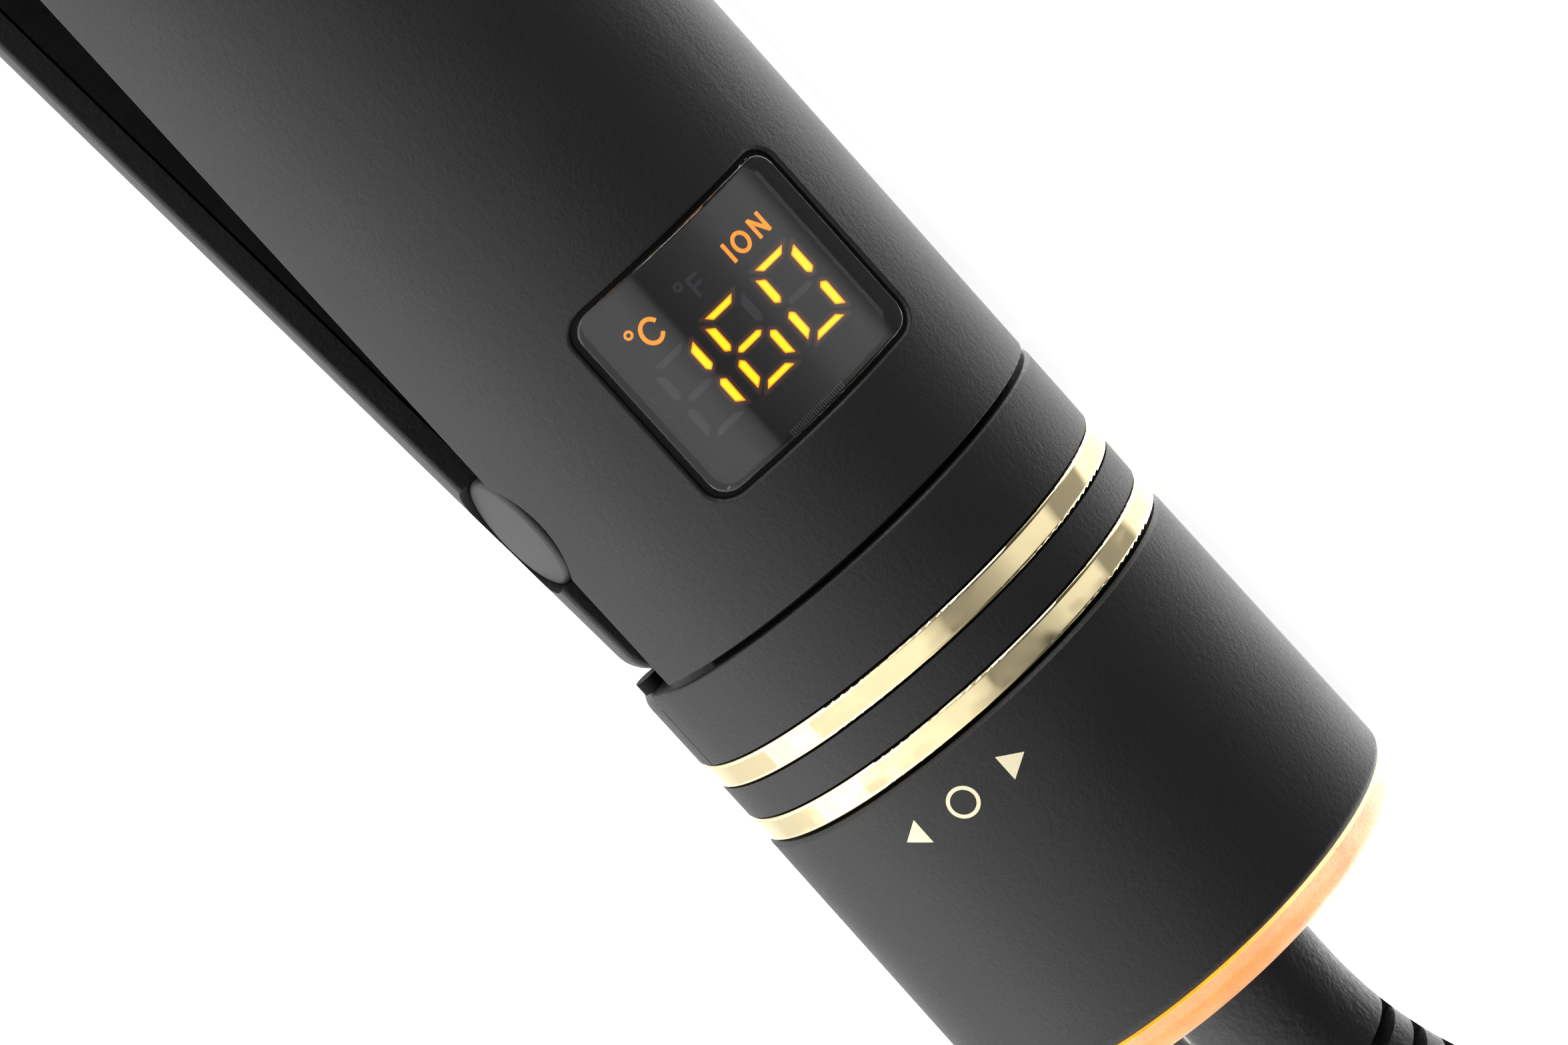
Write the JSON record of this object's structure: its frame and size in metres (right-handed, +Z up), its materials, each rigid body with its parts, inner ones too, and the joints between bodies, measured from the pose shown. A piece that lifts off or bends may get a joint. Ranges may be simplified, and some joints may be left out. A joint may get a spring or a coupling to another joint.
{
  "type": "curling iron",
  "caption": "Two-arm curling iron with a heated barrel, a hinged clamp spoon, a digital display, a twist ring, a light ring and a swivel cord with plug.",
  "frame": {"origin": "centre of the underside of the iron without its cord, as it lies on its side on a table", "axes": "+X along the handle to the barrel tip, +Z up along the arm hinge axis, the display faces -Y and the clamp arm opens to +Y"},
  "size_m": [0.4859, 0.121, 0.0388],
  "materials": {
    "soft_touch_black": "soft-touch, fine spark texture",
    "inner_black": "fine moulded",
    "cap_black": "satin",
    "pale_gold": "polished, plated",
    "mark_gold": "printed metallic ink",
    "smoked_window": "high gloss, dark tint",
    "gasket_black": "matt",
    "display_face": "satin",
    "light_guide": "translucent, lit from inside",
    "board_lacquer": "black solder mask",
    "module_grey": "potted module",
    "lead_white": "silicone insulation",
    "barrel_coat": "satin titanium-coloured coat",
    "spreader_alu": "extruded",
    "heater_ceramic": "polyimide-wrapped",
    "tip_black": "heat-resistant",
    "steel": "bright",
    "boot_rubber": "fine leather grain",
    "cord_black": "satin sheath",
    "tie_black": "woven hook-and-loop strap",
    "plug_black": "fine moulded",
    "pin_nickel": "nickel-plated"
  },
  "bodies": {
    "cord_set": {"swivel_hub": "inner_black", "strain_relief_boot": "boot_rubber", "power_cord": "cord_black", "cord_coil": "cord_black", "cord_end": "cord_black", "cord_tie": "tie_black", "plug_body": "plug_black", "plug_pins": "pin_nickel"},
    "handle": {"main_arm_shell": "soft_touch_black", "main_arm_liner": "inner_black", "display_window": "smoked_window", "display_gasket": "gasket_black", "display_module": "display_face", "control_board": "board_lacquer", "ion_module": "module_grey", "heater_leads": "lead_white", "barrel_base": "inner_black", "barrel_tube": "barrel_coat", "heat_spreader_display_side": "spreader_alu", "heat_spreader_clamp_side": "spreader_alu", "ptc_heater": "heater_ceramic", "thermal_sensor": "heater_ceramic", "cool_tip": "tip_black", "tail_core": "inner_black", "collar_upper": "soft_touch_black", "collar_lower": "soft_touch_black", "open_stop_pads": "gasket_black", "gold_ring_front": "pale_gold", "spacer_band": "soft_touch_black", "gold_ring_rear": "pale_gold", "encoder_board": "board_lacquer", "ring_return_spring": "steel", "power_board": "board_lacquer", "light_ring": "light_guide", "led_board": "board_lacquer", "end_cap": "inner_black", "chassis_screws": "steel", "display_arm_screws": "steel", "arm_spring": "steel"},
    "clamp_arm": {"clamp_arm_shell": "soft_touch_black", "clamp_arm_liner": "inner_black", "closing_pads": "gasket_black", "clamp_arm_screws": "steel", "hinge_pin": "steel", "hinge_cap_left": "cap_black", "hinge_cap_right": "cap_black", "spoon_bracket": "inner_black", "spoon_rivets": "steel", "clamp_spoon": "barrel_coat", "clamp_tip": "tip_black"},
    "twist_ring": {"twist_ring": "soft_touch_black", "ring_marks": "mark_gold"}
  },
  "joints": [
    {"name": "cord_swivel", "type": "hinge", "parent": "cord_set", "child": "handle", "pos_m": [-0.1588, -0.03306, 0.01939], "axis": [1, 0, 0], "continuous": true},
    {"name": "arm_hinge", "type": "hinge", "parent": "handle", "child": "clamp_arm", "pos_m": [-0.1048, -0.03306, 0.01939], "axis": [0, 0, 1], "range_deg": [-14.1, 0], "stiffness_Nm_per_rad": 0.6, "springref_deg": 6.88, "deforming": ["arm_spring"]},
    {"name": "ring_twist", "type": "hinge", "parent": "handle", "child": "twist_ring", "pos_m": [-0.1468, -0.03306, 0.01939], "axis": [1, 0, 0], "range_deg": [-15, 15], "stiffness_Nm_per_rad": 0.08}
  ]
}
